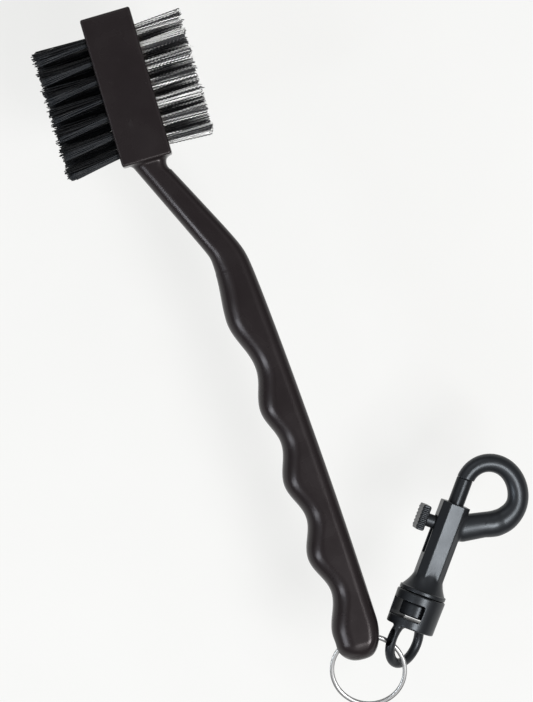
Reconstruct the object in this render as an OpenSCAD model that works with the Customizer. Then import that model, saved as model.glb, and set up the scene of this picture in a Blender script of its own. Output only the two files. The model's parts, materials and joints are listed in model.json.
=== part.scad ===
// Club groove brush on a swivel bolt snap, lying flat.
// The origin is the middle of the head's flat underside. +Y runs along the head to its tip,
// the nylon bristles point to -X, the wire bristles to +X, and the grip runs towards -Y.

/* [Head] */
// Width of the head between its two bristle faces
head_w = 13.6; // [12:0.1:16]
// Length of the head
head_l = 40.4; // [38:0.1:46]
// Thickness of the head, and of the grip at its fullest
head_t = 15; // [14:0.5:18]

/* [Bristles] */
// Number of rows of tufts on each face
rows = 7; // [7:1:7]
// Distance between two rows
row_pitch = 5.05; // [4.8:0.05:5.3]
// Height of the outer tufts above and below the middle one
column_offset = 4.6; // [3.8:0.1:5]
// Diameter of a tuft hole
tuft_hole_d = 2.6; // [2:0.1:3]
// Depth of a tuft hole
tuft_hole_depth = 4.6; // [3:0.1:5]
// Free length of the nylon tufts
nylon_l = 14.4; // [8:0.1:20]
// Free length of the wire tufts
wire_l = 12.4; // [8:0.1:20]

/* [Handle] */
// Thickness of the neck where it leaves the head
neck_t = 11; // [9:0.5:13]
// Number of finger grooves
grooves = 4; // [4:1:4]
// Distance between two finger grooves
groove_pitch = 20.65; // [20:0.05:21]
// Diameter of the lanyard hole
lanyard_hole_d = 6.6; // [6.5:0.1:7]

/* [Split ring] */
// Outer diameter of the ring
ring_od = 20.3; // [20:0.1:20.6]
// Width of the flat wire, along the ring's radius
ring_wire_w = 1; // [0.8:0.05:1.1]
// Height of the two coils together
ring_h = 1.3; // [1:0.05:1.4]
// How far the ring leans down from the handle
ring_lean = 17; // [16.5:0.5:17.5]
// How far the ring's right side is lifted by the eye
ring_lift = 8.5; // [8:0.5:9]

/* [Bolt snap] */
// Angle of the snap's axis, clockwise from the head's axis
snap_heading = 36.7; // [36:0.1:37.4]
// How far the hook end of the snap is raised
snap_rise = 2; // [1.5:0.5:2]
// Roll of the hook about the snap's axis, thumb pad upwards
hook_roll = 12; // [8:1:14]
// Roll of the eye about the snap's axis
eye_roll = 56.5; // [56:0.5:57]
// Outer diameter of the collar
collar_d = 13.3; // [13:0.1:13.6]
// Length of the collar
collar_l = 9.4; // [9.2:0.1:9.6]
// Radius of the eye's centre line
eye_r = 6.25; // [6.2:0.05:6.3]
// Diameter of the eye's strand
eye_strand_d = 2.6; // [2.4:0.1:2.7]
// Width across the flats of the barrel
barrel_w = 7.6; // [7.4:0.1:8]
// Width of the 45 degree flats on the barrel's corners
barrel_chamfer = 1.85; // [1.6:0.05:2]
// Diameter of the sliding bolt
bolt_d = 4.4; // [4:0.1:4.4]
// Diameter of the hook's strand
hook_strand_d = 5; // [4.8:0.1:5.4]
// Travel of the bolt
bolt_travel = 6.4; // [5:0.1:6.5]

/* [Hidden] */
$fn = 48;

plastic = "#2b292a";
mid_z = head_t / 2;
running_gap = 0.05;
seat_gap = 0.02;

// ---- Tufts: a row is one tuft above, one below and, half a pitch further on, one in the middle
first_row_y = 14.1;
tuft_d = tuft_hole_d - 2 * seat_gap;
anchor_w = 0.5;
anchor_h = 1.6;
function row_y(row) = first_row_y - (row - 1) * row_pitch;
function row_tufts(row) = concat(
    [[row_y(row), mid_z + column_offset], [row_y(row), mid_z - column_offset]],
    row < rows ? [[row_y(row) - row_pitch / 2, mid_z]] : []);

// ---- Handle outline, in the XY plane
end_y = -162.7;
neck_top_y = -head_l / 2 + 0.6;
neck_slope = 0.455;
back_slope = 0.507;
bend_softness = 0.7;
notch_r = 2.65;
notch_x = 7.3;
notch_y = -22.3;
// Peaks of the finger line, from the guard down: for each finger a groove and then a crest
guard_peaks = [[-54.2, 8.85], [-66.5, 8.05]];
first_groove = [-81.5, 12.05];
groove_drift = 0.86;
first_crest = [-91.8, 10.02];
crest_pitch = groove_pitch - 0.15;
crest_drift = 0.58;
last_crest_drop = 1.3;
finger_peaks = concat(guard_peaks, [for (i = [0:grooves - 1]) each [
    [first_groove[0] - i * groove_pitch, first_groove[1] + i * groove_drift],
    [first_crest[0] - i * crest_pitch - (i == grooves - 1 ? last_crest_drop : 0), first_crest[1] + i * crest_drift]]]);
left_corner = [5.6, 5.4];
right_corner = [5.5, 10.2];
end_round = 5;

function smooth(t) = (1 - cos(180 * min(1, max(0, t)))) / 2;
function soft_min(a, b, k) = (a + b - sqrt((a - b) * (a - b) + 4 * k * k)) / 2;
// Inset of a rounded corner, size [across, along], at a distance past its start
function corner_inset(size, past) = past <= 0 ? 0 :
    size[0] * (1 - sqrt(max(0, 1 - pow(min(1, past / size[1]), 2))));
function wave(y, i = 0) = y >= finger_peaks[i + 1][0] || i + 2 >= len(finger_peaks)
    ? finger_peaks[i][1] + (finger_peaks[i + 1][1] - finger_peaks[i][1])
        * smooth((finger_peaks[i][0] - y) / (finger_peaks[i][0] - finger_peaks[i + 1][0]))
    : wave(y, i + 1);
// The neck's two sides leave the head as straight lines from neck_y; the back then bends into a long curve
neck_y = -24;
neck_left = -2.72;
neck_right = 5.45;
function left_x(y) = (y > guard_peaks[0][0]
    ? soft_min(neck_left + neck_slope * (neck_y - y), guard_peaks[0][1] + 0.12, 0.3)
    : wave(y)) + corner_inset(left_corner, end_y + left_corner[1] - y);
function back_curve(d) = 19.86 + 0.0766 * d - 0.0003 * d * d;
function right_x(y) = (y > neck_y
    ? min(head_w / 2 - 0.6, notch_x - sqrt(pow(notch_r, 2) - pow(min(notch_r, y - notch_y), 2)))
    : soft_min(neck_right + back_slope * (neck_y - y), back_curve(-66 - y), bend_softness))
    - corner_inset(right_corner, end_y + right_corner[1] - y);
function half_t(y) = neck_t / 2 + (head_t - neck_t) / 2 * smooth((-26 - y) / 38)
    - corner_inset([end_round, end_round], end_y + end_round - y);
function left_r(y) = 3.6 + 1.4 * smooth((-44 - y) / 18);
function right_r(y) = 2.4 + 0.6 * smooth((-40 - y) / 20);

// One corner of a section: centre, radius and the angle it starts at
function corner(c, r, from, y) = [for (k = [0:4]) [c[0] + r * cos(from - k * 22.5), y, c[1] + r * sin(from - k * 22.5)]];
function section(y) =
    let (h = half_t(y), xl = left_x(y), xr = right_x(y), w = xr - xl)
    let (rl = min(left_r(y), h * 0.98, w * 0.6), rr = min(right_r(y), h * 0.9, w * 0.35))
    concat(
        corner([xl + rl, mid_z + h - rl], rl, 180, y),
        corner([xr - rr, mid_z + h - rr], rr, 90, y),
        corner([xr - rr, mid_z - h + rr], rr, 0, y),
        corner([xl + rl, mid_z - h + rl], rl, -90, y));
straight_step = 2.3;
body_steps = round((neck_top_y - end_y - end_round) / straight_step);
end_steps = 8;
stations = concat(
    [for (i = [0:body_steps]) neck_top_y - i * (neck_top_y - end_y - end_round) / body_steps],
    [for (i = [1:end_steps]) end_y + end_round * (1 - sin(i * 84 / end_steps))]);

// ---- Lanyard hole and ring
lanyard = [17.9, -157, mid_z];
ring_r = (ring_od - ring_wire_w) / 2;
ring_play = 0.35;
ring_rise = 1.6;
coil_groove = 0.12;

// ---- Snap frame: X right of the axis, Y along it towards the hook, Z up; Y = 0 is the collar's end face
snap_at = [31.8, -158.3, 6.75];
eye_y = -3.6;
collar_r = collar_d / 2;
window_y = [2.3, 6.9];
window_w = 10.2;
cavity_r = 4.45;
stem_r = 3.1;
stud_r = 4.15;
stud_y = 3.1;
stud_top = 6.7;
slot_w = 0.9;
flange_y = 10;
flange_r = 6.35;
flange_rim = 0.8;
flare_end = 14.2;
barrel_top = 35.2;
bolt_r = bolt_d / 2;
bore_r = bolt_r + running_gap;
tip_y = 42.3;
seat_depth = 0.8;
nose_r = 1.5;
hook_c = [7.75, 41];
hook_r = 7.85;
hook_sweep = [-62, 174];
root_from = [2.6, 29.9];
root_to = [11.35, 34.3];
root_r = 3.75;
root_end_r = 2.35;
pad_y = [25.5, 32.4];
pad_x = [-8.6, -6.25];
pad_w = 5.6;
pad_neck_y = [26.9, 30.5];
pad_neck_w = 2.4;
pad_pin_r = 0.9;
ridges = 7;
ridge_depth = 0.3;
bolt_tail = 24.5;
plug_l = 1.6;
spring_wire_d = 0.4;
spring_turns = 9;
spring_r = bore_r - 0.35 - spring_wire_d / 2;

module in_snap(roll) {
    translate(snap_at) rotate([snap_rise, 0, -snap_heading]) rotate([0, roll, 0]) children();
}

// A cylinder or a cone along +Y
module rod(r, from, to, r_end = undef) {
    translate([0, from, 0]) rotate([-90, 0, 0])
        cylinder(r1 = r, r2 = is_undef(r_end) ? r : r_end, h = to - from);
}

// A disc-like solid turned about the Y axis from [radius, y] points
module turned(points) {
    rotate([-90, 0, 0]) rotate_extrude() polygon(points);
}

// A straight tuft from its hole's floor to its tips, side -1 for nylon and 1 for wire
module tuft(side, at, free_l, tip_r) {
    floor_x = head_w / 2 - tuft_hole_depth + anchor_w + seat_gap;
    translate([0, at[0], at[1]]) rotate([0, side * 90, 0]) {
        translate([0, 0, floor_x]) cylinder(r = tuft_d / 2, h = head_w / 2 - floor_x);
        translate([0, 0, head_w / 2]) cylinder(r1 = tuft_d / 2, r2 = tip_r, h = free_l);
    }
}

module tuft_row(row, side, free_l, tip_r) {
    for (at = row_tufts(row)) tuft(side, at, free_l, tip_r);
}

// The flat metal anchors that hold each folded tuft at the floor of its hole
module anchors(side) {
    for (row = [1:rows]) for (at = row_tufts(row))
        translate([side * (head_w / 2 - tuft_hole_depth + seat_gap + anchor_w / 2), at[0], at[1]])
            cube([anchor_w - seat_gap, tuft_d * 0.9, anchor_h * 0.6], center = true);
}

module handle_loft() {
    n = len(section(neck_top_y));
    last = (len(stations) - 1) * n;
    polyhedron(
        points = [for (y = stations) each section(y)],
        faces = concat(
            [[for (k = [n - 1:-1:0]) k]],
            [for (s = [0:len(stations) - 2]) for (k = [0:n - 1])
                [s * n + k, s * n + (k + 1) % n, (s + 1) * n + (k + 1) % n, (s + 1) * n + k]],
            [[for (k = [0:n - 1]) last + k]]),
        convexity = 6);
}

module head_block() {
    edge_r = 0.8;
    translate([0, head_l / 2, 0]) rotate([90, 0, 0]) linear_extrude(head_l) {
        translate([-head_w / 2 + edge_r, 0]) square([head_w - 2 * edge_r, head_t]);
        translate([-head_w / 2, edge_r]) square([head_w, head_t - 2 * edge_r]);
        for (x = [-1, 1]) for (z = [edge_r, head_t - edge_r])
            translate([x * (head_w / 2 - edge_r), z]) circle(edge_r);
    }
}

module handle_body() {
    color(plastic) difference() {
        union() {
            head_block();
            handle_loft();
        }
        for (side = [-1, 1]) for (row = [1:rows]) for (at = row_tufts(row))
            translate([side * (head_w / 2 - tuft_hole_depth), at[0], at[1]]) rotate([0, side * 90, 0])
                cylinder(d = tuft_hole_d, h = tuft_hole_depth + 1);
        translate(lanyard) rotate([0, 90, 0]) cylinder(d = lanyard_hole_d, h = 30, center = true);
    }
}

module nylon_row(row) { color("#232324") tuft_row(row, -1, nylon_l, tuft_hole_d / 2 + 0.35); }
module wire_row(row) { color("#b9b9b6") tuft_row(row, 1, wire_l, tuft_hole_d / 2 + 0.6); }
module nylon_tuft_anchors() { color("#c9b26a") anchors(-1); }
module wire_tuft_anchors() { color("#c9b26a") anchors(1); }

// The ring's two coils lie on each other with a fine groove between them
module split_ring() {
    color("#c8c8c6") translate(lanyard + [0, 0, ring_rise]) rotate([ring_lean, -ring_lift, 0])
        translate([0, ring_play - ring_r, 0]) rotate_extrude($fn = 96)
            translate([ring_r - ring_wire_w / 2, 0]) {
                translate([coil_groove, -coil_groove / 2])
                    square([ring_wire_w - 2 * coil_groove, coil_groove]);
                for (z = [-ring_h / 2, coil_groove / 2])
                    translate([0, z]) square([ring_wire_w, (ring_h - coil_groove) / 2]);
            }
}

module swivel_eye() {
    color(plastic) in_snap(eye_roll) difference() {
        union() {
            turned([[0, 0], [collar_r - 0.5, 0], [collar_r, 0.5], [collar_r, collar_l - 0.4],
                [collar_r - 0.4, collar_l], [0, collar_l]]);
            translate([0, eye_y, 0]) rotate_extrude() translate([eye_r, 0]) circle(d = eye_strand_d);
        }
        rod(cavity_r, window_y[0], window_y[1]);
        rod(stem_r + running_gap, window_y[1] - 1, collar_l + 1);
        for (side = [-1, 1]) translate([side * collar_r, (window_y[0] + window_y[1]) / 2, 0])
            cube([2 * collar_r, window_y[1] - window_y[0], window_w], center = true);
    }
}

module barrel() {
    half = barrel_w / 2;
    flat = half - barrel_chamfer;
    translate([0, flange_y + flange_rim, 0]) rotate([-90, 0, 0])
        linear_extrude(barrel_top - flange_y - flange_rim)
            polygon([[flat, half], [half, flat], [half, -flat], [flat, -half],
                [-flat, -half], [-half, -flat], [-half, flat], [-flat, half]]);
}

module hook_loop() {
    translate([hook_c[0], hook_c[1], 0]) rotate([0, 0, hook_sweep[0]])
        rotate_extrude(angle = hook_sweep[1] - hook_sweep[0])
            translate([hook_r, 0]) circle(d = hook_strand_d);
    translate([root_from[0], root_from[1], 0])
        rotate([0, 0, -atan2(root_to[0] - root_from[0], root_to[1] - root_from[1])])
            rod(root_r, 0, norm(root_to - root_from) + 1.5, root_end_r);
}

module snap_hook_body() {
    color(plastic) in_snap(hook_roll) difference() {
        union() {
            turned([[0, stud_y], [stud_r - 0.6, stud_y], [stud_r, stud_y + 0.9], [stud_r, stud_top],
                [stem_r, stud_top], [stem_r, flange_y], [flange_r, flange_y], [flange_r, flange_y + flange_rim],
                [5.1, flange_y + 1.9], [4.3, flange_y + 3], [3.9, flare_end], [0, flare_end]]);
            barrel();
            difference() {
                hook_loop();
                translate([0, tip_y - 5, 0]) cube([8, 10, 8], center = true);
            }
        }
        rod(bore_r, stud_y - 1, barrel_top + 1);
        rod(nose_r + running_gap, tip_y - 1, tip_y + seat_depth);
        translate([0, (stud_y + flange_y) / 2 - 1.5, 0])
            cube([2 * stud_r + 2, flange_y - stud_y - 1, slot_w], center = true);
        translate([-barrel_w, pad_neck_y[0] - bolt_travel - 0.15, -pad_neck_w / 2 - 0.1])
            cube([barrel_w, pad_neck_y[1] - pad_neck_y[0] + bolt_travel + 0.3, pad_neck_w + 0.2]);
    }
}

module snap_bolt() {
    color("#333132") in_snap(hook_roll) difference() {
        union() {
            rod(bolt_r, bolt_tail, tip_y - running_gap);
            rod(nose_r, tip_y - 1, tip_y + seat_depth - 0.1);
        }
        translate([-bolt_d, (pad_neck_y[0] + pad_neck_y[1]) / 2, 0]) rotate([0, 90, 0])
            cylinder(r = pad_pin_r + seat_gap, h = bolt_d + 1);
    }
}

module thumb_pad() {
    pad_mid = (pad_neck_y[0] + pad_neck_y[1]) / 2;
    color(plastic) in_snap(hook_roll) {
        difference() {
            translate([pad_x[0], pad_y[0], -pad_w / 2]) cube([pad_x[1] - pad_x[0], pad_y[1] - pad_y[0], pad_w]);
            for (i = [1:ridges]) translate([pad_x[0], pad_y[0] + i * (pad_y[1] - pad_y[0]) / (ridges + 1), 0])
                cube([2 * ridge_depth, 0.4, pad_w + 1], center = true);
        }
        translate([pad_x[1] - 0.1, pad_neck_y[0], -pad_neck_w / 2])
            cube([-bolt_r - 0.1 - pad_x[1], pad_neck_y[1] - pad_neck_y[0], pad_neck_w]);
        translate([-bolt_r - 0.5, pad_mid, 0]) rotate([0, 90, 0]) cylinder(r = pad_pin_r, h = bolt_r + 0.9);
    }
}

// A round wire along a coil about the Y axis, closed with flat ends
module coil(r, wire_d, from, to, turns) {
    steps = turns * 16;
    sides = 6;
    function at(i) = let (a = 360 * turns * i / steps)
        [for (k = [0:sides - 1]) let (b = 360 * k / sides, q = r + wire_d / 2 * cos(b))
            [q * cos(a), from + (to - from) * i / steps + wire_d / 2 * sin(b), q * sin(a)]];
    polyhedron(
        points = [for (i = [0:steps]) each at(i)],
        faces = concat(
            [[for (k = [0:sides - 1]) k]],
            [for (i = [0:steps - 1]) for (k = [0:sides - 1])
                [i * sides + k, (i + 1) * sides + k, (i + 1) * sides + (k + 1) % sides, i * sides + (k + 1) % sides]],
            [[for (k = [sides - 1:-1:0]) steps * sides + k]]),
        convexity = 10);
}

module bolt_spring() {
    color("silver") in_snap(hook_roll)
        coil(spring_r, spring_wire_d, stud_y + plug_l + spring_wire_d, bolt_tail - spring_wire_d, spring_turns);
}

// Closes the bore behind the spring
module spring_plug() {
    color("#1f1f20") in_snap(hook_roll) rod(bore_r - seat_gap, stud_y + 0.1, stud_y + plug_l);
}

handle_body();
nylon_row(1);  // nylon_tufts_row_1
nylon_row(2);  // nylon_tufts_row_2
nylon_row(3);  // nylon_tufts_row_3
nylon_row(4);  // nylon_tufts_row_4
nylon_row(5);  // nylon_tufts_row_5
nylon_row(6);  // nylon_tufts_row_6
nylon_row(7);  // nylon_tufts_row_7
wire_row(1);  // wire_tufts_row_1
wire_row(2);  // wire_tufts_row_2
wire_row(3);  // wire_tufts_row_3
wire_row(4);  // wire_tufts_row_4
wire_row(5);  // wire_tufts_row_5
wire_row(6);  // wire_tufts_row_6
wire_row(7);  // wire_tufts_row_7
nylon_tuft_anchors();
wire_tuft_anchors();
split_ring();
swivel_eye();
snap_hook_body();
snap_bolt();
thumb_pad();
bolt_spring();
spring_plug();
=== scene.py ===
"""Club groove brush with a split ring and a bolt snap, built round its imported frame.

Shapes are worked out in millimetres in the frame's axes, or in the snap's own frame (X to its right,
Y along it towards the hook, Z up, origin in the middle of the collar's end face), then stored in metres.
"""
import json
import math

import bpy
import numpy as np
from mathutils import Matrix, Vector


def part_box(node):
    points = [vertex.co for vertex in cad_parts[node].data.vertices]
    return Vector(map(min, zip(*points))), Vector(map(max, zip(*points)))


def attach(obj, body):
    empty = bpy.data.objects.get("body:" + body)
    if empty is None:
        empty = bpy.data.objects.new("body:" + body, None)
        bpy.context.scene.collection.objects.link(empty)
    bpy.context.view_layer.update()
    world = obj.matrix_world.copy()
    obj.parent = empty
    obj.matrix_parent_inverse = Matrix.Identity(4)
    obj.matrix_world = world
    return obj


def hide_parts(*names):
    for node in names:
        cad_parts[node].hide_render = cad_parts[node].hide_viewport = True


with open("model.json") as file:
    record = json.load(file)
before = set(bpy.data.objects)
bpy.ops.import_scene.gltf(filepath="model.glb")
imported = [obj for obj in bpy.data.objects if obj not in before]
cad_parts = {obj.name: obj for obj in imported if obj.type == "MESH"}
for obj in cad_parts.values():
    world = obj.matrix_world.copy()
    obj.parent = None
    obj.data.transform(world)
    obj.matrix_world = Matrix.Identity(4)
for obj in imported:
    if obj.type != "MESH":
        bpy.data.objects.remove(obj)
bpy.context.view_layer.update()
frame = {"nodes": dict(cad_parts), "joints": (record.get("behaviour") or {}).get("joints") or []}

MM = 0.001
rng = np.random.default_rng(11)


# ---------------------------------------------------------------- sizes, in millimetres
def node_box(node):
    low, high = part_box(node)
    return np.array(low) / MM, np.array(high) / MM


handle_low, handle_high = node_box("handle_body")
HEAD_W = 13.6
HEAD_L = 2 * handle_high[1]
HEAD_T = handle_high[2]
MID_Z = HEAD_T / 2
END_Y = handle_low[1]

ROWS = 7
ROW_PITCH = 5.05
FIRST_ROW_Y = 14.1
COLUMN = 4.6
HOLE_R = 1.3
HOLE_DEPTH = 4.6
STRAND_ROOT = 3.9

joints = {j["name"]: j for j in frame["joints"]}
LANYARD = np.array(joints["ring_swing"]["pos_m"]) / MM
LANYARD_R = 3.3

RING_CENTRE = Vector(joints["eye_round_ring"]["pos_m"]) / MM
RING_NORMAL = -Vector(joints["eye_round_ring"]["axis"]).normalized()
RING_R = 9.65
WIRE_W = 1.14
RING_H = 1.3

SNAP_AT = Vector(joints["hook_swivel"]["pos_m"]) / MM
SNAP_AXIS = Vector(joints["hook_swivel"]["axis"]).normalized()
HOOK_ROLL = 12
EYE_ROLL = 56.5
BARREL_HALF = 3.8
BARREL_CORNER = 4.07
BARREL_TOP = 35.2
FLANGE_Y = 10
TIP_Y = 42.3
BORE_R = 2.25
PAD_NECK = (26.9, 30.5)
BOLT_TRAVEL = 6.4


# ---------------------------------------------------------------- shape arithmetic
def smooth(t):
    return (1 - np.cos(np.pi * np.clip(t, 0, 1))) / 2


def soft_min(a, b, k):
    return (a + b - np.sqrt((a - b) ** 2 + 4 * k * k)) / 2


def inside_both(a, b, r):
    """Where two solids overlap, their meeting edge rounded to r."""
    return np.minimum(-r, np.maximum(a, b)) + np.hypot(np.maximum(r + a, 0), np.maximum(r + b, 0))


def join(a, b, r):
    """Two solids together, with a fillet of radius r between them."""
    return np.maximum(r, np.minimum(a, b)) - np.hypot(np.maximum(r - a, 0), np.maximum(r - b, 0))


def cut(a, b, r):
    """Solid a with b taken out, the rim rounded to r."""
    return inside_both(a, -b, r)


def between(v, low, high):
    return np.abs(v - (low + high) / 2) - (high - low) / 2


def rod(q, y, r, low, high, edge):
    """A cylinder about the Y axis, q being the distance from the axis."""
    return inside_both(q - r, between(y, low, high), edge)


def block(x, y, z, low, high, edge):
    a = inside_both(between(x, low[0], high[0]), between(y, low[1], high[1]), edge)
    return inside_both(a, between(z, low[2], high[2]), edge)


CELL_CORNERS = [(i, j, k) for i in (0, 1) for j in (0, 1) for k in (0, 1)]


def skin(shape, low, high, step):
    """The surface shape(x, y, z) = 0 inside a box as quads, each corner moved onto the true surface."""
    axes = [np.arange(a - step, b + 2 * step, step) for a, b in zip(low, high)]
    grid = np.broadcast_arrays(*np.meshgrid(*axes, indexing="ij", sparse=True))
    v = np.asarray(shape(grid[0], grid[1], grid[2]), dtype=np.float32)
    sign = v < 0
    n = [s - 1 for s in v.shape]

    def corner(c):
        return tuple(slice(c[a], c[a] + n[a]) for a in range(3))

    filled = sum(sign[corner(c)].astype(np.int8) for c in CELL_CORNERS)
    cells = np.argwhere((filled > 0) & (filled < 8))
    index = np.full(n, -1, dtype=np.int64)
    index[tuple(cells.T)] = np.arange(len(cells))

    total = np.zeros((len(cells), 3))
    count = np.zeros(len(cells))
    for c in CELL_CORNERS:
        for axis in range(3):
            if c[axis]:
                continue
            d = tuple(c[a] + (a == axis) for a in range(3))
            va = v[tuple((cells + c).T)]
            vb = v[tuple((cells + d).T)]
            cross = (va < 0) != (vb < 0)
            t = np.where(cross, va / np.where(cross, va - vb, 1), 0)
            p = np.tile(np.array(c, float), (len(cells), 1))
            p[:, axis] += t
            total[cross] += p[cross]
            count[cross] += 1
    verts = (cells + total / count[:, None]) * step + [a[0] for a in axes]

    quads = []
    for axis in range(3):
        b, c = (axis + 1) % 3, (axis + 2) % 3
        here = [slice(None)] * 3
        there = [slice(None)] * 3
        here[axis], there[axis] = slice(0, -1), slice(1, None)
        change = sign[tuple(here)] != sign[tuple(there)]
        edges = np.argwhere(change)
        edges = edges[(edges[:, b] > 0) & (edges[:, c] > 0) & (edges[:, b] < n[b]) & (edges[:, c] < n[c])]
        corners = []
        for db, dc in ((1, 1), (0, 1), (0, 0), (1, 0)):
            e = edges.copy()
            e[:, b] -= db
            e[:, c] -= dc
            corners.append(index[tuple(e.T)])
        quad = np.stack(corners, axis=1)
        flip = ~sign[tuple(edges.T)]
        quad[flip] = quad[flip][:, ::-1]
        quads.append(quad)

    for _ in range(3):
        verts -= newton_step(shape, verts, step)
    return verts, [np.concatenate(quads)]


def newton_step(shape, p, step):
    h = 0.02
    x, y, z = p.T
    f = shape(x, y, z)
    g = np.stack([shape(x + h, y, z) - shape(x - h, y, z), shape(x, y + h, z) - shape(x, y - h, z),
                  shape(x, y, z + h) - shape(x, y, z - h)], axis=1) / (2 * h)
    size = np.maximum((g * g).sum(axis=1), 0.2)
    move = g * (f / size)[:, None]
    length = np.linalg.norm(move, axis=1)
    return move * np.minimum(1, 0.5 * step / np.maximum(length, 1e-9))[:, None]


def tubes(paths, radii, sides, ref=(0, 0, 1)):
    """A closed round tube along each path. paths is (tubes, points, 3), radii is (tubes, points)."""
    n, m, _ = paths.shape
    t = np.gradient(paths, axis=1)
    t /= np.linalg.norm(t, axis=2, keepdims=True)
    a = np.cross(t, np.array(ref, float))
    a /= np.linalg.norm(a, axis=2, keepdims=True)
    b = np.cross(t, a)
    turn = 2 * np.pi * np.arange(sides) / sides
    ring = (a[:, :, None] * np.cos(turn)[:, None] + b[:, :, None] * np.sin(turn)[:, None])
    verts = (paths[:, :, None] + ring * radii[:, :, None, None]).reshape(-1, 3)
    s = np.arange(n)[:, None, None] * m * sides
    i = np.arange(m - 1)[None, :, None] * sides
    k = np.arange(sides)[None, None, :]
    k2 = (k + 1) % sides
    quads = np.stack([s + i + k, s + i + k2, s + i + sides + k2, s + i + sides + k], axis=-1).reshape(-1, 4)
    first = (np.arange(n) * m * sides)[:, None] + np.arange(sides)[::-1][None]
    last = (np.arange(n) * m * sides + (m - 1) * sides)[:, None] + np.arange(sides)[None]
    return verts, [quads, np.concatenate([first, last])]


# ---------------------------------------------------------------- objects
def mesh_object(name, verts, groups, place=None, smooth_faces=True):
    """An object from corners in millimetres and arrays of faces, each array with its own corner count."""
    verts = np.asarray(verts, float)
    if place is not None:
        m = np.array(place)
        verts = verts @ m[:3, :3].T + m[:3, 3]
    mesh = bpy.data.meshes.new(name)
    loops = np.concatenate([g.ravel() for g in groups])
    sizes = np.concatenate([np.full(len(g), g.shape[1]) for g in groups])
    mesh.vertices.add(len(verts))
    mesh.vertices.foreach_set("co", (verts * MM).ravel())
    mesh.loops.add(len(loops))
    mesh.loops.foreach_set("vertex_index", loops)
    mesh.polygons.add(len(sizes))
    mesh.polygons.foreach_set("loop_start", np.concatenate([[0], np.cumsum(sizes)[:-1]]))
    mesh.polygons.foreach_set("use_smooth", np.full(len(sizes), smooth_faces))
    mesh.update(calc_edges=True)
    mesh.validate()
    obj = bpy.data.objects.new(name, mesh)
    bpy.context.scene.collection.objects.link(obj)
    return obj


def finish_piece(obj, body, nodes, material):
    obj.data.materials.append(material)
    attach(obj, body)
    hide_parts(*nodes)
    return obj


def snap_frame(roll):
    heading = math.atan2(SNAP_AXIS.x, SNAP_AXIS.y)
    turn = Matrix.Rotation(-heading, 4, "Z") @ Matrix.Rotation(math.asin(SNAP_AXIS.z), 4, "X")
    return Matrix.Translation(SNAP_AT) @ turn @ Matrix.Rotation(math.radians(roll), 4, "Y")


# ---------------------------------------------------------------- materials
class Shader:
    """A principled material and short names for the nodes that feed it."""

    def __init__(self, name, color, roughness, metallic=0.0):
        self.mat = bpy.data.materials.new(name)
        self.mat.use_nodes = True
        self.tree = self.mat.node_tree
        self.bsdf = self.tree.nodes["Principled BSDF"]
        self.set("Base Color", (*color, 1))
        self.set("Roughness", roughness)
        self.set("Metallic", metallic)
        self.mat.diffuse_color = (*color, 1)
        self.place = self.node("ShaderNodeTexCoord").outputs["Object"]

    def node(self, kind, **values):
        n = self.tree.nodes.new(kind)
        for key, value in values.items():
            if hasattr(n, key):
                setattr(n, key, value)
            else:
                n.inputs[key].default_value = value
        return n

    def set(self, name, value):
        if isinstance(value, bpy.types.NodeSocket):
            self.tree.links.new(value, self.bsdf.inputs[name])
        else:
            self.bsdf.inputs[name].default_value = value

    def link(self, a, b):
        self.tree.links.new(a, b)

    def noise(self, size_mm, detail=3, stretch=None, rough=0.5):
        """Noise whose blobs are about size_mm across, drawn out along the axes by stretch."""
        n = self.node("ShaderNodeTexNoise", Scale=1 / (size_mm * MM), Detail=detail, Roughness=rough)
        source = self.place
        if stretch:
            m = self.node("ShaderNodeMapping")
            m.inputs["Scale"].default_value = [1 / s for s in stretch]
            self.link(source, m.inputs["Vector"])
            source = m.outputs["Vector"]
        self.link(source, n.inputs["Vector"])
        return n.outputs["Fac"]

    def ranged(self, value, low, high, start=0.3, end=0.7):
        n = self.node("ShaderNodeMapRange")
        self.link(value, n.inputs["Value"])
        for key, v in (("From Min", start), ("From Max", end), ("To Min", low), ("To Max", high)):
            n.inputs[key].default_value = v
        return n.outputs["Result"]

    def mixed(self, factor, a, b):
        n = self.node("ShaderNodeMix", data_type="RGBA")
        for socket, v in ((n.inputs[0], factor), (n.inputs[6], a), (n.inputs[7], b)):
            if isinstance(v, bpy.types.NodeSocket):
                self.link(v, socket)
            else:
                socket.default_value = (*v, 1) if isinstance(v, tuple) else v
        return n.outputs[2]

    def math(self, op, a, b):
        n = self.node("ShaderNodeMath", operation=op)
        for i, v in enumerate((a, b)):
            if isinstance(v, bpy.types.NodeSocket):
                self.link(v, n.inputs[i])
            else:
                n.inputs[i].default_value = v
        return n.outputs[0]

    def bump(self, height, depth_mm, strength=1.0):
        n = self.node("ShaderNodeBump", Strength=strength, Distance=depth_mm * MM)
        self.link(height, n.inputs["Height"])
        self.set("Normal", n.outputs["Normal"])

    def attribute(self, name):
        return self.node("ShaderNodeAttribute", attribute_name=name).outputs["Fac"]


def moulded_plastic(name, color, worn, roughness, sheen, gloss, grain_mm=0.35, grain_depth=0.003):
    """Black moulded plastic: a fine grain, patches of handling shine and a few pale rubbed marks."""
    s = Shader(name, color, roughness)
    patches = s.noise(9, detail=4)
    marks = s.noise(1.6, detail=6, stretch=(1, 5, 1), rough=0.7)
    rubbed = s.ranged(marks, 0, 0.4, start=0.64, end=0.85)
    s.set("Base Color", s.mixed(rubbed, color, worn))
    rough = s.ranged(patches, roughness - 0.04, roughness + 0.05)
    s.set("Roughness", s.math("ADD", rough, s.math("MULTIPLY", rubbed, 0.12)))
    s.set("Specular Tint", (*sheen, 1))
    s.set("Specular IOR Level", gloss)
    s.bump(s.noise(grain_mm, detail=2), grain_depth)
    return s.mat


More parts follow.
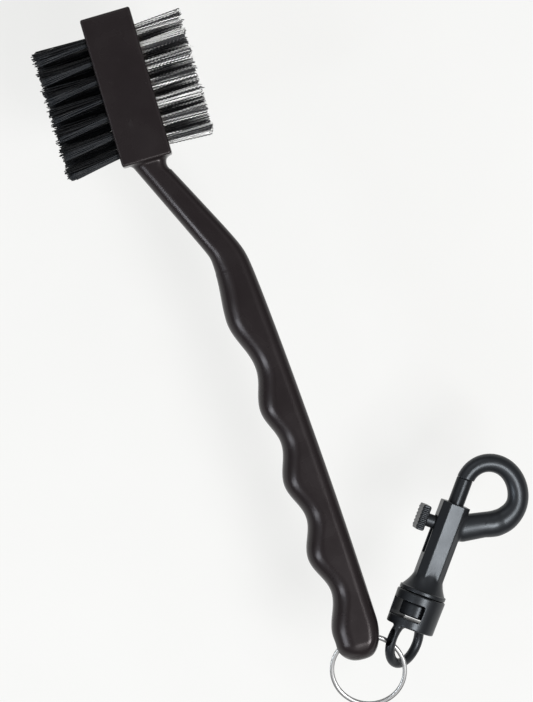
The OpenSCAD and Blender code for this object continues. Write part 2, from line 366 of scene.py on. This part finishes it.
def nylon():
    """Black nylon strands, each with its own tone, which carries painted highlight bands and painted shade,
    and a dusting of grey towards the tips.
    """
    s = Shader("nylon strands", (0.01, 0.01, 0.012), 0.42)
    shade = s.mixed(s.attribute("tone_and_painted_light"), (0.0012, 0.0014, 0.002), (0.0105, 0.0125, 0.0155))
    dust = s.math("MULTIPLY", s.ranged(s.noise(0.7, detail=4), 0, 0.12), s.attribute("along"))
    s.set("Base Color", s.mixed(dust, shade, (0.09, 0.09, 0.09)))
    s.set("Specular IOR Level", s.ranged(s.attribute("tone_and_painted_light"), 0.08, 0.26, start=0, end=1))
    s.set("Roughness", s.ranged(s.noise(0.5), 0.36, 0.5))
    s.bump(s.noise(0.25), 0.01)
    return s.mat


def steel_strands():
    """Crimped wire: some strands bright, some dull as painted light and shade, each darker and browner near
    its root.
    """
    s = Shader("steel strands", (0.62, 0.62, 0.6), 0.3, metallic=1)
    shade = s.mixed(s.attribute("tone_and_painted_light"), (0.04, 0.04, 0.043), (0.98, 0.98, 0.97))
    # Darker and browner over the first part of each strand, from inside the hole to just past the head.
    root = s.ranged(s.attribute("along"), 0.5, 0, start=0, end=0.12)
    root_darkening = s.math("MULTIPLY", root, s.ranged(s.noise(0.8, detail=4), 0.3, 1))
    s.set("Base Color", s.mixed(root_darkening, shade, (0.2, 0.17, 0.15)))
    s.set("Roughness", s.ranged(s.noise(0.6), 0.26, 0.42))
    s.bump(s.noise(0.12, detail=2), 0.003)
    return s.mat


def polished_steel(name, color, roughness, line_stretch):
    """Drawn steel wire: fine lines along it and a few duller spots."""
    s = Shader(name, color, roughness, metallic=1)
    spots = s.ranged(s.noise(4.0, detail=3), 0, 1, start=0.5, end=0.7)
    s.set("Base Color", s.mixed(spots, color, tuple(c * 0.85 for c in color)))
    s.set("Roughness", s.ranged(s.noise(5.0), roughness - 0.02, roughness + 0.04))
    s.bump(s.noise(0.3, detail=2, stretch=line_stretch), 0.0003)
    return s.mat


def brass():
    s = Shader("anchor brass", (0.72, 0.55, 0.26), 0.32, metallic=1)
    dull = s.ranged(s.noise(0.8, detail=5), 0, 1)
    s.set("Base Color", s.mixed(dull, (0.76, 0.6, 0.3), (0.42, 0.3, 0.14)))
    s.bump(s.noise(0.2), 0.005)
    return s.mat


WARM = (1.0, 0.93, 0.94)
COOL = (0.86, 0.93, 1.0)
handle_black = moulded_plastic("handle plastic", (0.0112, 0.0086, 0.0092), (0.05, 0.047, 0.047),
                               roughness=0.26, sheen=WARM, gloss=0.25)
snap_black = moulded_plastic("snap plastic", (0.008, 0.0085, 0.0098), (0.06, 0.06, 0.06),
                             roughness=0.35, sheen=COOL, gloss=0.38, grain_mm=0.25, grain_depth=0.002)
bolt_black = moulded_plastic("bolt plastic", (0.008, 0.0085, 0.0095), (0.06, 0.06, 0.06),
                             roughness=0.33, sheen=COOL, gloss=0.25, grain_mm=0.2, grain_depth=0.002)
ring_steel = polished_steel("ring steel", (0.4, 0.4, 0.4), 0.34, (6, 6, 0.6))
spring_steel = polished_steel("spring steel", (0.6, 0.6, 0.6), 0.25, (1, 1, 1))
nylon_black = nylon()
strand_steel = steel_strands()
anchor_brass = brass()


# ---------------------------------------------------------------- handle
GROOVE_Y = -81.5
GROOVE_PITCH = 20.65
GROOVE_X = 12.05
GROOVE_DRIFT = 0.86
CREST_X = 10.02
CREST_DRIFT = 0.58
LAST_CREST = 1.3
GUARD_X = 8.97
NECK_TOP_Y = -24
NECK_LEFT_X = -2.72
NECK_RIGHT_X = 5.45
BACK_Y = -66
BACK_X = 19.86
NOTCH_AT = (7.3, -22.3)
NOTCH_R = 2.65
NECK_HALF_T = 5.5
LEFT_CORNER = (5.6, 5.4)
RIGHT_CORNER = (5.5, 10.2)
FACE_CORNER = (4.6, 4.6)


def finger_line():
    """The peaks of the finger side, from the guard down: a groove and a crest for each finger."""
    points = [(-54.2, 8.85), (-66.5, 8.05)]
    for i in range(4):
        points.append((GROOVE_Y - i * GROOVE_PITCH, GROOVE_X + i * GROOVE_DRIFT))
        last = LAST_CREST if i == 3 else 0
        points.append((GROOVE_Y - 10.3 - i * (GROOVE_PITCH - 0.15) - last, CREST_X + i * CREST_DRIFT))
    return points


def end_inset(corner, y):
    """How far the outline steps in near the grip's end for an elliptical corner of a width and a length."""
    width, length = corner
    t = np.clip((END_Y + length - y) / length, 0, 1)
    return width * (1 - np.sqrt(1 - t * t))


def left_x(y):
    x = soft_min(NECK_LEFT_X + 0.455 * (NECK_TOP_Y - y), GUARD_X, 0.3)
    points = finger_line()
    for (ya, xa), (yb, xb) in zip(points[:-1], points[1:]):
        x = np.where(y <= ya, xa + (xb - xa) * smooth((ya - y) / (ya - yb)), x)
    return x + end_inset(LEFT_CORNER, y)


def right_x(y):
    over = np.minimum(NOTCH_R, y - NOTCH_AT[1])
    notch = NOTCH_AT[0] - np.sqrt(np.maximum(0, NOTCH_R ** 2 - over ** 2))
    d = BACK_Y - y
    neck = NECK_RIGHT_X + 0.507 * (NECK_TOP_Y - y)
    back = soft_min(neck, BACK_X + 0.0766 * d - 0.0003 * d * d, 0.7)
    x = np.where(y > NECK_TOP_Y, np.minimum(HEAD_W / 2 - 0.6, notch), back)
    return x - end_inset(RIGHT_CORNER, y)


def half_t(y):
    fuller = (HEAD_T / 2 - NECK_HALF_T) * smooth((NECK_TOP_Y - 2 - y) / 38)
    return NECK_HALF_T + fuller - end_inset(FACE_CORNER, y)


def handle_shape(x, y, z):
    """The grip and its neck joined to the head's block, with the tuft holes and the lanyard hole."""
    xl, xr, h = left_x(y), right_x(y), half_t(y)
    w = xr - xl
    rl = np.minimum(np.minimum(3.6 + 1.4 * smooth((-44 - y) / 18), 0.98 * h), 0.6 * w)
    rr = np.minimum(np.minimum(2.4 + 0.6 * smooth((-40 - y) / 20), 0.9 * h), 0.35 * w)
    px = x - (xl + xr) / 2
    r = np.where(px < 0, rl, rr)
    qx = np.abs(px) - w / 2 + r
    qz = np.abs(z - MID_Z) - h + r
    grip = np.minimum(np.maximum(qx, qz), 0) + np.hypot(np.maximum(qx, 0), np.maximum(qz, 0)) - r
    grip = inside_both(grip * 0.85, END_Y - y, 0.5)
    grip = np.maximum(grip, y + HEAD_L / 2 - 2)
    head = block(x, y, z, (-HEAD_W / 2, -HEAD_L / 2, 0), (HEAD_W / 2, HEAD_L / 2, HEAD_T), 0.55)
    body = join(grip, head, 0.9)

    # The tuft holes repeat along the head, so one outer pair and one middle hole stand for them all
    outer = y - FIRST_ROW_Y
    outer = outer - ROW_PITCH * np.clip(np.round(outer / ROW_PITCH), 1 - ROWS, 0)
    middle = y - FIRST_ROW_Y + ROW_PITCH / 2
    middle = middle - ROW_PITCH * np.clip(np.round(middle / ROW_PITCH), 2 - ROWS, 0)
    up = np.abs(z - MID_Z)
    holes = np.minimum(np.hypot(outer, up - COLUMN), np.hypot(middle, up)) - HOLE_R
    holes = np.maximum(holes, HEAD_W / 2 - HOLE_DEPTH - np.abs(x))
    body = cut(body, holes, 0.15)
    lanyard = np.hypot(y - LANYARD[1], z - LANYARD[2]) - LANYARD_R
    return cut(body, lanyard, 0.5)


def build_handle():
    low = (-HEAD_W / 2, END_Y, 0)
    high = (handle_high[0], HEAD_L / 2, HEAD_T)
    obj = mesh_object("handle", *skin(handle_shape, low, high, 0.33))
    finish_piece(obj, "brush", ["handle_body"], handle_black)


# ---------------------------------------------------------------- bristles
def row_tufts(row):
    y = FIRST_ROW_Y - (row - 1) * ROW_PITCH
    tufts = [(y, MID_Z + COLUMN), (y, MID_Z - COLUMN)]
    if row < ROWS:
        tufts.append((y - ROW_PITCH / 2, MID_Z))
    return tufts


GOLDEN_TURN = math.pi * (3 - math.sqrt(5))


def strand_paths(side, at, lean, look):
    """Strands of one tuft from inside its hole to their tips, with how far out and how pale each point is;
    the paleness carries painted light and shade.

    Crimped strands nest, so the waves of one tuft run nearly in step. Middle tufts get painted shade near
    the head.
    """
    count, reach = look["count"], look["reach"]
    i = np.arange(count)
    r = (HOLE_R - 0.2) * np.sqrt((i + 0.5) / count)
    a = i * GOLDEN_TURN + rng.uniform(0, 6.28)
    root_y = r * np.cos(a) + rng.normal(0, 0.03, count)
    root_z = r * np.sin(a) + rng.normal(0, 0.03, count)
    length = reach + look["slant"] * root_y + rng.normal(0, look["ragged"], count)
    length = np.where(rng.random(count) < 0.08, length + rng.uniform(-1.4, 0.8, count), length)
    s = np.linspace(0, 1, look["points"])[None, :]
    run = -STRAND_ROOT + s * (length[:, None] + STRAND_ROOT)
    out = np.clip(run / reach, 0, 1.2)
    stray_y = rng.normal(0, look["stray"], count)[:, None]
    stray_z = rng.normal(0, look["stray"] * 0.7, count)[:, None]
    bow = rng.normal(0, look["bow"], (2, count, 1)) * np.sin(np.pi * np.clip(out, 0, 1))
    y = root_y[:, None] * (1 + look["spread"] * out ** 1.1) + stray_y * out ** 1.5 + lean * out + bow[0]
    z = root_z[:, None] * (1 + look["rise"] * out) + stray_z * out ** 1.5 + bow[1]
    if look["crimp"]:
        wave = look["wave"] * rng.uniform(0.985, 1.015, (count, 1))
        phase = rng.uniform(0, 6.28) + rng.normal(0, 0.5, (count, 1))
        size = look["crimp"] * rng.uniform(0.5, 1.2, (count, 1)) * np.clip(out * 6, 0, 1)
        swing = np.sin(2 * np.pi * run / wave + phase) * size
        y += swing
        z += 0.3 * swing
    z = np.maximum(z + at[1], 0.2)
    x = side * (HEAD_W / 2 + run)
    tone_and_painted_light = look["shade"](root_y / HOLE_R, rng.random(count))[:, None]
    # Painted shade: the middle tufts are darkened near the head and clear towards their tips.
    if abs(at[1] - MID_Z) < 1:
        painted_shade = look["middle_painted_shade"]
        tone_and_painted_light = tone_and_painted_light * (painted_shade + (1 - painted_shade) * smooth((out - look["clear_from"]) / 0.5))
    out = np.broadcast_to(out, x.shape)
    return np.stack([x, at[0] + y, z], axis=2), out, np.broadcast_to(tone_and_painted_light, x.shape)


def nylon_tone_and_painted_highlight(across, chance):
    """A painted highlight as a lighter band along one side of each tuft, the rest nearly black with a few
    lighter strands.
    """
    return np.where(across < -0.15, 0.75 + 0.25 * chance, 0.45 * chance ** 3)


def wire_painted_light_and_shade(across, chance):
    """Painted light and shade: bright strands mostly along both sides of the tuft, the others dull."""
    bright = chance > np.where(np.abs(across) > 0.5, 0.35, 0.7)
    return np.where(bright, 0.6 + 0.3 * chance, 0.1 * chance)


# Lengths are in millimetres. A tuft opens by spread and rise, its strands wander by stray and bow, and it
# leans along the head by an amount that changes from first row to last. Slant and ragged shape its end.
# Each strand's tone carries painted light and shade. The middle tufts take painted shade near the head,
# which clears from a point along the strand.
NYLON = {"count": 54, "reach": 14.0, "d": 0.34, "points": 10, "sides": 6, "spread": 0.8, "rise": 0.35,
         "stray": 0.26, "bow": 0.08, "lean": (-0.6, -1.6), "slant": 0.35, "ragged": 0.42, "crimp": 0,
         "shade": nylon_tone_and_painted_highlight, "middle_painted_shade": 0.3, "clear_from": 0.3}
WIRE = {"count": 26, "reach": 12.1, "d": 0.28, "points": 110, "sides": 5, "spread": 0.38, "rise": 0.3,
        "stray": 0.14, "bow": 0.05, "lean": (0.55, -0.2), "slant": 0.4, "ragged": 0.22, "crimp": 0.13,
        "wave": 1.0, "shade": wire_painted_light_and_shade, "middle_painted_shade": 0.1, "clear_from": 0.4}


def build_tuft_row(kind, side, row, look, material):
    verts, quads, caps, tone_and_painted_light, along = [], [], [], [], []
    base = 0
    for at in row_tufts(row):
        first_lean, last_lean = look["lean"]
        lean = first_lean + (last_lean - first_lean) * (row - 1) / (ROWS - 1)
        paths, out, shade = strand_paths(side, at, lean, look)
        n, m = out.shape
        radii = np.full((n, m), look["d"] / 2)
        radii[:, -1] *= 0.75
        v, (q, c) = tubes(paths, radii, look["sides"], ref=(0, 0.2, 1))
        verts.append(v)
        quads.append(q + base)
        caps.append(c + base)
        base += len(v)
        tone_and_painted_light.append(np.repeat(shade.ravel(), look["sides"]))
        along.append(np.repeat(out.ravel(), look["sides"]))
    name = f"{kind}_bristles_row_{row}"
    obj = mesh_object(name, np.concatenate(verts), [np.concatenate(quads), np.concatenate(caps)])
    for key, values in (("tone_and_painted_light", tone_and_painted_light), ("along", along)):
        layer = obj.data.attributes.new(key, "FLOAT", "POINT")
        layer.data.foreach_set("value", np.concatenate(values))
    finish_piece(obj, "brush", [f"{kind}_tufts_row_{row}"], material)


# ---------------------------------------------------------------- split ring
def build_ring():
    """One flat wire wound twice. Its ends and the step between the coils lie inside the handle's hole."""
    coil_h = RING_H / 2 - 0.05
    corner = 0.85
    step_turn = 16
    gap_turn = 1.5
    start = 90 + step_turn / 2
    total = 720 - step_turn - 2 * gap_turn
    turn = np.linspace(0, total, 400)
    rise = smooth((turn - (360 - step_turn)) / step_turn)
    level = (rise - 0.5) * (RING_H / 2 + 0.02)
    angle = np.radians(start - turn)
    section = []
    for k in range(20):
        a = 2 * math.pi * k / 20
        u = math.copysign(abs(math.cos(a)) ** corner * WIRE_W / 2, math.cos(a))
        w = math.copysign(abs(math.sin(a)) ** corner * coil_h / 2, math.sin(a))
        section.append((u, w))
    section = np.array(section)
    radius = RING_R + section[:, 0][None, :]
    verts = np.stack([radius * np.cos(angle)[:, None], radius * np.sin(angle)[:, None],
                      section[:, 1][None, :] + level[:, None]], axis=2).reshape(-1, 3)
    n, k = len(turn), len(section)
    i = np.arange(n - 1)[:, None] * k
    j = np.arange(k)[None, :]
    j2 = (j + 1) % k
    quads = np.stack([i + j, i + k + j, i + k + j2, i + j2], axis=-1).reshape(-1, 4)[:, ::-1]
    caps = np.array([np.arange(k), (n - 1) * k + np.arange(k)[::-1]])
    lean = Matrix.Rotation(math.asin(-RING_NORMAL.y), 4, "X")
    lift = Matrix.Rotation(math.atan2(RING_NORMAL.x, RING_NORMAL.z), 4, "Y")
    place = Matrix.Translation(RING_CENTRE) @ lift @ lean
    obj = mesh_object("ring", verts, [quads, caps], place)
    finish_piece(obj, "ring", ["split_ring"], ring_steel)


# ---------------------------------------------------------------- bolt snap
COLLAR_L = 9.4
COLLAR_R = 6.48
CAVITY_R = 4.45
CAVITY_Y = (2.3, 6.9)
STEM_BORE_R = 3.15
WINDOW_Z = (-5.1, 5.0)
EYE_Y = -3.6
EYE_R = 6.25
EYE_STRAND_R = 1.3


def eye_shape(x, y, z):
    """The collar with a window on either side, and the eye at its end."""
    q = np.hypot(x, z)
    outside = COLLAR_R + 0.17 * np.clip(y / COLLAR_L, 0, 1)
    collar = inside_both(q - outside, between(y, 0, COLLAR_L), 0.4)
    eye = np.hypot(np.hypot(x, y - EYE_Y) - EYE_R, z) - EYE_STRAND_R
    body = join(collar, eye, 0.7)
    cavity = rod(q, y, CAVITY_R, *CAVITY_Y, 0.2)
    bore = rod(q, y, STEM_BORE_R, 5.5, 11, 0.1)
    window = inside_both(between(y, *CAVITY_Y), between(z, *WINDOW_Z), 0.3)
    body = cut(body, np.minimum(cavity, window), 0.12)
    return cut(body, bore, 0.15)


ROOT_FROM = (4.0, 29.7)
ROOT_TO = (11.7, 33.85)
ROOT_HALF_Z = 2.85
LOOP_AT = (7.9, 40.9)
LOOP_R = 7.8
LOOP_CUT_X = 9.5
FLARE_Y = (10.5, 17.4)
FLARE_R = 3.7
FLARE_RISE = 2.25
RIM_R = 6.35
STEM_R = 3.1
STUD_R = 4.15
STUD_Y = (3.1, 6.7)
SEAT_R = 1.55
BOLT_R = 2.18
NOSE_R = 1.48
PIN_R = 0.88
PAD_Y = (25.5, 32.4)
PAD_X = (-8.6, -6.25)
PAD_HALF_Z = 2.8
RIB_PITCH = 0.98
SLOT_GAP = 0.15
SLOT_HALF = 1.3


def root_shape(x, y, z):
    """The hook's root: a straight tapering arm from the barrel to the low side of the loop."""
    (ax, ay), (bx, by) = ROOT_FROM, ROOT_TO
    dx, dy = bx - ax, by - ay
    t = np.clip(((x - ax) * dx + (y - ay) * dy) / (dx * dx + dy * dy), 0, 1)
    half = 3.65 - 0.35 * t
    off = np.hypot(x - ax - t * dx, y - ay - t * dy)
    return (np.hypot(off / half, z / ROOT_HALF_Z) - 1) * ROOT_HALF_Z


def loop_shape(x, y, z):
    """The hook: a strand bent round and thinning to its tip, joined low down to its root."""
    cx, cy = LOOP_AT
    a = np.degrees(np.arctan2(y - cy, x - cx))
    back = np.where(a < -120, 180, a)
    swell = 0.36 * smooth(1 - np.abs(back + 45) / 50)
    outer = 0.17 * smooth(1 - np.abs(back + 60) / 50)
    centre = LOOP_R + 0.45 * np.cos(np.radians(2 * (a - 130))) - swell + outer
    thick = 2.35 + 0.62 * smooth((170 - back) / 230) + swell + outer
    height = 2.3 + 0.55 * smooth((170 - back) / 230)
    sunk = np.where(y < cy, 0.84 + 0.16 * smooth((x - 8.5) / 3.5), 1)
    strand = (np.hypot((np.hypot(x - cx, y - cy) - centre) / thick, z / height) - sunk) * height
    tip = np.where(x < 7, inside_both(strand, TIP_Y - y, 0.12), strand)
    arm = join(np.maximum(strand, LOOP_CUT_X - x), np.maximum(root_shape(x, y, z), 0.5 - x), 0.7)
    return np.where(y < cy, arm, tip)


def hook_shape(x, y, z):
    """The barrel with flats and a slot, the hook at one end, a flare, a flange and a stud at the other."""
    q = np.hypot(x, z)
    square = np.maximum(np.abs(x), np.abs(z)) - BARREL_HALF
    corners = (np.abs(x) + np.abs(z)) * math.sqrt(0.5) - BARREL_CORNER
    barrel = inside_both(inside_both(square, corners, 0.12), between(y, 10.6, BARREL_TOP), 0.22)
    body = join(barrel, loop_shape(x, y, z), 0.8)

    down = np.clip((17.5 - y) / 6.8, 0, 1)
    flare = (q - FLARE_R - FLARE_RISE * down ** 2.2) * 0.75
    flare = inside_both(flare, between(y, *FLARE_Y), 0.15)
    body = join(body, flare, 0.12)
    rim = rod(q, y, RIM_R, FLANGE_Y - 0.4, FLANGE_Y + 0.65, 0.15)
    stem = rod(q, y, STEM_R, 5, 12, 0.1)
    stud = rod(q, y, STUD_R, *STUD_Y, 0.45)
    body = join(join(body, rim, 0.15), np.minimum(stem, stud), 0.1)

    bore = np.maximum(q - BORE_R, BARREL_TOP - 33.2 - y)
    bore = np.maximum(bore, y - 39)
    seat = rod(q, y, SEAT_R, 41, TIP_Y + 0.8, 0.05)
    split = np.maximum(between(z, -0.45, 0.45), between(y, 0, 8.1))
    slot_low = (-9, PAD_NECK[0] - BOLT_TRAVEL - SLOT_GAP, -SLOT_HALF)
    slot = block(x, y, z, slot_low, (0, PAD_NECK[1] + SLOT_GAP, SLOT_HALF), 0.2)
    body = cut(body, bore, 0.12)
    body = cut(body, np.minimum(seat, split), 0.08)
    return cut(body, slot, 0.12)


def bolt_shape(x, y, z):
    """The sliding bar, with a thinner nose and a hole for the pad's pin."""
    q = np.hypot(x, z)
    bolt = rod(q, y, BOLT_R, 24.5, TIP_Y - 0.08, 0.2)
    nose = rod(q, y, NOSE_R, TIP_Y - 1, TIP_Y + 0.68, 0.35)
    pin_hole = np.maximum(np.hypot(y - sum(PAD_NECK) / 2, z) - PIN_R - 0.04, x)
    return cut(np.minimum(bolt, nose), pin_hole, 0.05)


def pad_shape(x, y, z):
    """The thumb pad, ribbed all round its outer half, on a rounded neck with a pin into the bolt."""
    ridge = 0.09 * (1 - np.cos(2 * np.pi * (y - PAD_Y[0]) / RIB_PITCH)) * smooth((-6.5 - x) / 0.4)
    low, high = zip(PAD_X, PAD_Y, (-PAD_HALF_Z, PAD_HALF_Z))
    pad = block(x, y, z, low, high, 0.55) + ridge
    middle = sum(PAD_NECK) / 2
    neck = inside_both((np.hypot((y - middle) / 1.78, z / 1.2) - 1) * 1.3, between(x, -6.8, -2.3), 0.1)
    pin = np.maximum(np.hypot(y - middle, z) - PIN_R, between(x, -3, -0.2))
    return join(join(pad, neck, 0.3), pin, 0.1)


SPRING_TURNS = 9
SPRING_WIRE_R = 0.2
SPRING_START_Y = 5.1
SPRING_L = 19.0


def build_spring():
    t = np.linspace(0, 1, SPRING_TURNS * 28 + 1)
    r = BORE_R - 0.55
    y = SPRING_START_Y + t * SPRING_L
    a = 2 * np.pi * SPRING_TURNS * t
    path = np.stack([r * np.cos(a), y, r * np.sin(a)], axis=1)[None]
    coil = tubes(path, np.full((1, len(t)), SPRING_WIRE_R), 8, ref=(0, 1, 0))
    obj = mesh_object("spring", *coil, snap_frame(HOOK_ROLL))
    finish_piece(obj, "hook", ["bolt_spring"], spring_steel)


def build_snap():
    eye = skin(eye_shape, (-7, -11.5, -7), (7, COLLAR_L, 7), 0.16)
    obj = mesh_object("eye_and_collar", *eye, snap_frame(EYE_ROLL))
    finish_piece(obj, "eye", ["swivel_eye"], snap_black)

    hook = skin(hook_shape, (-6.6, 2.8, -6.6), (19.4, 52.5, 6.6), 0.17)
    obj = mesh_object("hook_and_barrel", *hook, snap_frame(HOOK_ROLL))
    finish_piece(obj, "hook", ["snap_hook_body"], snap_black)

    bolt = skin(bolt_shape, (-2.3, 24.3, -2.3), (2.3, TIP_Y + 1, 2.3), 0.13)
    obj = mesh_object("bolt", *bolt, snap_frame(HOOK_ROLL))
    finish_piece(obj, "bolt", ["snap_bolt"], bolt_black)

    pad = skin(pad_shape, (-8.8, 25.2, -3), (0, 32.6, 3), 0.12)
    obj = mesh_object("pad", *pad, snap_frame(HOOK_ROLL))
    finish_piece(obj, "bolt", ["thumb_pad"], bolt_black)
    build_spring()


# ---------------------------------------------------------------- the stage
# The camera looks straight down at a place beside the brush, rolled, and takes in VIEW_HEIGHT
IMAGE_ROLL = math.radians(16.3)
LOOK_AT = Vector((16.10, -77.26, 0)) * MM
VIEW_HEIGHT = 185.8 * MM
CAMERA_RISE = 1.8
SENSOR_HEIGHT = 36
FLOOR_DROP = 40
FLOOR_HALF = 1500


def picture_point(around, off, distance):
    """A place over the brush: degrees round from the picture's right, degrees off the view, and metres."""
    a = math.radians(around) - IMAGE_ROLL
    o = math.radians(off)
    return LOOK_AT + distance * Vector((math.sin(o) * math.cos(a), math.sin(o) * math.sin(a), math.cos(o)))


def add_camera():
    data = bpy.data.cameras.new("camera")
    data.sensor_fit = "VERTICAL"
    data.sensor_height = SENSOR_HEIGHT
    data.lens = SENSOR_HEIGHT * CAMERA_RISE / VIEW_HEIGHT
    data.clip_start = 0.01
    cam = bpy.data.objects.new("camera", data)
    cam.location = LOOK_AT + Vector((0, 0, CAMERA_RISE + MID_Z * MM))
    cam.rotation_euler = (0, 0, -IMAGE_ROLL)
    bpy.context.scene.collection.objects.link(cam)
    bpy.context.scene.camera = cam


def add_light(name, place, size, power, color=(1, 1, 1)):
    data = bpy.data.lights.new(name, "AREA")
    data.shape = "RECTANGLE"
    data.color = color
    data.size, data.size_y = size
    data.energy = power
    obj = bpy.data.objects.new(name, data)
    obj.location = place
    aim = LOOK_AT - obj.location
    obj.rotation_euler = aim.to_track_quat("-Z", "Y").to_euler()
    bpy.context.scene.collection.objects.link(obj)
    return obj


def add_floor():
    """A white table lit from inside, to show hardly any shadow, and low enough for the snap to swing."""
    corners = ((-1, -1), (1, -1), (1, 1), (-1, 1))
    v = np.array([(FLOOR_HALF * x, FLOOR_HALF * y, -FLOOR_DROP) for x, y in corners])
    obj = mesh_object("floor", v, [np.array([[0, 1, 2, 3]])], smooth_faces=False)
    s = Shader("floor paper", (0.12, 0.12, 0.118), 0.7)
    s.set("Base Color", s.mixed(s.noise(40, detail=3), (0.11, 0.11, 0.108), (0.13, 0.13, 0.128)))
    s.set("Emission Color", (1, 1, 0.985, 1))
    s.set("Emission Strength", 0.735)
    s.bump(s.noise(0.8, detail=3), 0.01)
    obj.data.materials.append(s.mat)


WALL = (0.84, 0.84, 0.83, 1)
# The studio's brightness against the height of the direction looked in, from the horizon to straight up
WORLD_STOPS = ((0.0, 0.25), (0.4, 0.2), (0.65, 0.45), (0.87, 0.7), (0.94, 0.5), (0.98, 0.14), (1.0, 0.1))


def add_world():
    """A studio that is dim straight overhead, bright in a wide ring round that, and grey near the horizon.

    Where the camera looks past the table it sees a plain pale wall.
    """
    world = bpy.data.worlds.new("studio")
    bpy.context.scene.world = world
    world.use_nodes = True
    tree = world.node_tree
    place = tree.nodes.new("ShaderNodeTexCoord")
    split = tree.nodes.new("ShaderNodeSeparateXYZ")
    ramp = tree.nodes.new("ShaderNodeValToRGB")
    tree.links.new(place.outputs["Generated"], split.inputs[0])
    tree.links.new(split.outputs["Z"], ramp.inputs["Fac"])
    seen = tree.nodes.new("ShaderNodeMix")
    seen.data_type = "RGBA"
    tree.links.new(tree.nodes.new("ShaderNodeLightPath").outputs["Is Camera Ray"], seen.inputs[0])
    tree.links.new(ramp.outputs["Color"], seen.inputs[6])
    seen.inputs[7].default_value = WALL
    tree.links.new(seen.outputs[2], tree.nodes["Background"].inputs["Color"])
    elements = ramp.color_ramp.elements
    while len(elements) < len(WORLD_STOPS):
        elements.new(0.5)
    for element, (at, level) in zip(elements, WORLD_STOPS):
        element.position = at
        element.color = (level, level, level, 1)


def add_stage():
    add_floor()
    add_world()
    add_camera()
    add_light("left strip", picture_point(205, 50, 1.0), (0.14, 0.45), 3.6, COOL)
    add_light("far box", picture_point(106, 42, 1.0), (0.7, 0.4), 0.8)
    add_light("near box", picture_point(-74, 42, 1.0), (0.7, 0.4), 0.8)
    add_light("right box", picture_point(-40, 27, 1.0), (0.32, 0.32), 8.2)
    bpy.context.scene.view_settings.view_transform = "Standard"


# ---------------------------------------------------------------- putting it together
build_handle()
for row in range(1, ROWS + 1):
    build_tuft_row("nylon", -1, row, NYLON, nylon_black)
    build_tuft_row("wire", 1, row, WIRE, strand_steel)
build_ring()
build_snap()
for node, material in (("nylon_tuft_anchors", anchor_brass), ("wire_tuft_anchors", anchor_brass),
                       ("spring_plug", snap_black)):
    frame["nodes"][node].data.materials.clear()
    frame["nodes"][node].data.materials.append(material)
add_stage()
